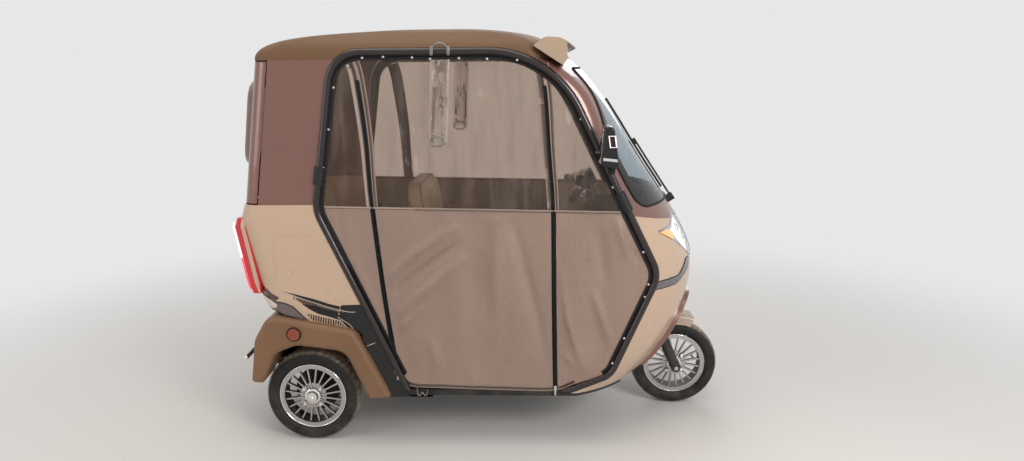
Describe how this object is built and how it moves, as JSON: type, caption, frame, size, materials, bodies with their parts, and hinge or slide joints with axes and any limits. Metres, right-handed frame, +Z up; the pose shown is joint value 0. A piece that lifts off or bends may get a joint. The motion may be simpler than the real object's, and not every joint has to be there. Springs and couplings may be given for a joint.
{
  "type": "auto rickshaw",
  "caption": "Cabin three-wheeler with a tubular door hoop and zip-up curtain each side, a peaked roof, a fork-steered front wheel and a rear hatch.",
  "frame": {"origin": "on the ground under the middle of the vehicle's length and width", "axes": "+X towards the front wheel, +Y to the driver's left, +Z up"},
  "size_m": [2.13, 1.18, 1.722],
  "materials": {
    "frame_paint": "satin black",
    "floor_black": "moulded",
    "body_cream": "gloss",
    "body_mauve": "gloss metallic",
    "roof_tan": "satin",
    "wing_tan": "satin",
    "black_plastic": "grained",
    "gloss_black": "gloss",
    "trim_grey": "gloss",
    "clear_glass": "clear",
    "tinted_window": "tinted",
    "lamp_clear": "clear lens",
    "lamp_red": "lens",
    "lamp_amber": "lens",
    "hoop_paint": "gloss",
    "curtain_pvc": "coated cloth",
    "curtain_film": "clear film",
    "seat_vinyl": "vinyl",
    "steel": "bright",
    "dark_steel": "satin",
    "alloy": "machined",
    "tyre": "rubber",
    "grip_rubber": "ribbed",
    "battery_case": "matte"
  },
  "bodies": {
    "body": {"chassis": "frame_paint", "floor_pan": "floor_black", "front_cowl": "body_cream", "well_liner": "black_plastic", "arch_trim": "body_mauve", "bulkhead": "black_plastic", "screen_surround": "body_mauve", "windscreen": "clear_glass", "roof": "roof_tan", "visor": "roof_tan", "hatch_hinges": "dark_steel", "tail_body": "body_cream", "tail_lamps": "lamp_red", "headlamps": "lamp_clear", "front_trim": "trim_grey", "side_markers": "lamp_amber", "quarter_panels": "body_mauve", "wings": "wing_tan", "sills": "gloss_black", "hoops": "hoop_paint", "hoop_clamps": "black_plastic", "curtain_skirts": "curtain_pvc", "curtain_windows": "curtain_film", "mirrors": "black_plastic", "wiper": "black_plastic", "luggage_floor": "black_plastic", "rear_apron": "black_plastic", "plate_bracket": "dark_steel", "rear_axle": "dark_steel", "leaf_springs": "dark_steel", "battery": "battery_case", "seat_boxes": "body_cream", "seat_cushions": "seat_vinyl", "backrests": "seat_vinyl", "backrest_frames": "frame_paint"},
    "hatch": {"hatch": "body_mauve", "rear_window": "tinted_window"},
    "steering": {"fork": "dark_steel", "steering_stem": "dark_steel", "handlebar": "steel", "grips": "grip_rubber", "instrument_pod": "black_plastic", "mudguard": "wing_tan", "fork_cover": "wing_tan", "front_axle": "steel"},
    "front_wheel": {"front_tyre": "tyre", "front_rim": "alloy"},
    "rear_wheel_right": {"rear_tyre_right": "tyre", "rear_rim_right": "alloy"},
    "rear_wheel_left": {"rear_tyre_left": "tyre", "rear_rim_left": "alloy"}
  },
  "joints": [
    {"name": "steering", "type": "hinge", "parent": "body", "child": "steering", "pos_m": [0.825, 0, 0.2], "axis": [-0.4067, 0, 0.9135], "range_deg": [-35, 35]},
    {"name": "front_wheel_spin", "type": "hinge", "parent": "steering", "child": "front_wheel", "pos_m": [0.865, 0, 0.2], "axis": [0, 1, 0], "continuous": true},
    {"name": "rear_wheel_right_spin", "type": "hinge", "parent": "body", "child": "rear_wheel_right", "pos_m": [-0.735, -0.392, 0.2], "axis": [0, 1, 0], "continuous": true},
    {"name": "rear_wheel_left_spin", "type": "hinge", "parent": "body", "child": "rear_wheel_left", "pos_m": [-0.735, 0.392, 0.2], "axis": [0, 1, 0], "continuous": true},
    {"name": "hatch_hinge", "type": "hinge", "parent": "body", "child": "hatch", "pos_m": [-0.916, 0, 1.588], "axis": [0, 1, 0], "range_deg": [0, 70]}
  ]
}
